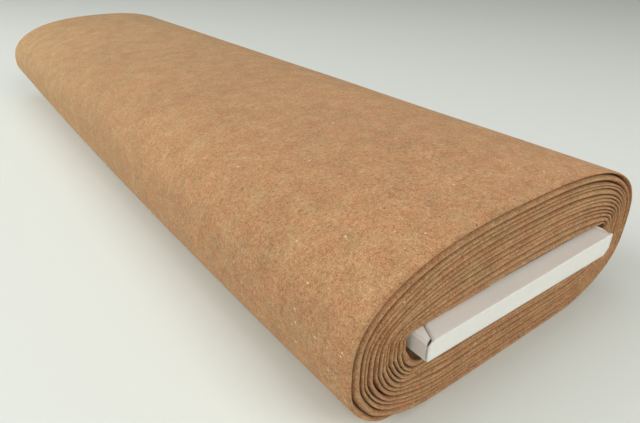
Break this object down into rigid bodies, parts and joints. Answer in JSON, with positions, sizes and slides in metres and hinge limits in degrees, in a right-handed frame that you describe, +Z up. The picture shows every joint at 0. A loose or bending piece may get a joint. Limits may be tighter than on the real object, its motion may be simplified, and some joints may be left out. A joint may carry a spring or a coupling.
{
  "type": "roll of upholstery fabric on a folded card board",
  "caption": "Long flattened roll of felted upholstery cloth, folded lengthwise and wound flat round a folded card board whose ends stand out of the roll.",
  "frame": {"origin": "under the middle of the roll's box, on the surface that it lies on", "axes": "+Y along the roll, away from the cloth's folded edge and towards its two open edges; +X across the roll; +Z up"},
  "size_m": [0.2546, 0.784, 0.1109],
  "materials": {
    "cloth": "matt felted wool, tan with fine darker and paler fibres",
    "board_card": "plain uncoated white card",
    "flap_card": "plain uncoated white card"
  },
  "bodies": {
    "root": {"cloth_roll": "cloth", "board_sleeve": "board_card", "board_end_near": "flap_card", "board_end_far": "flap_card"}
  },
  "joints": []
}
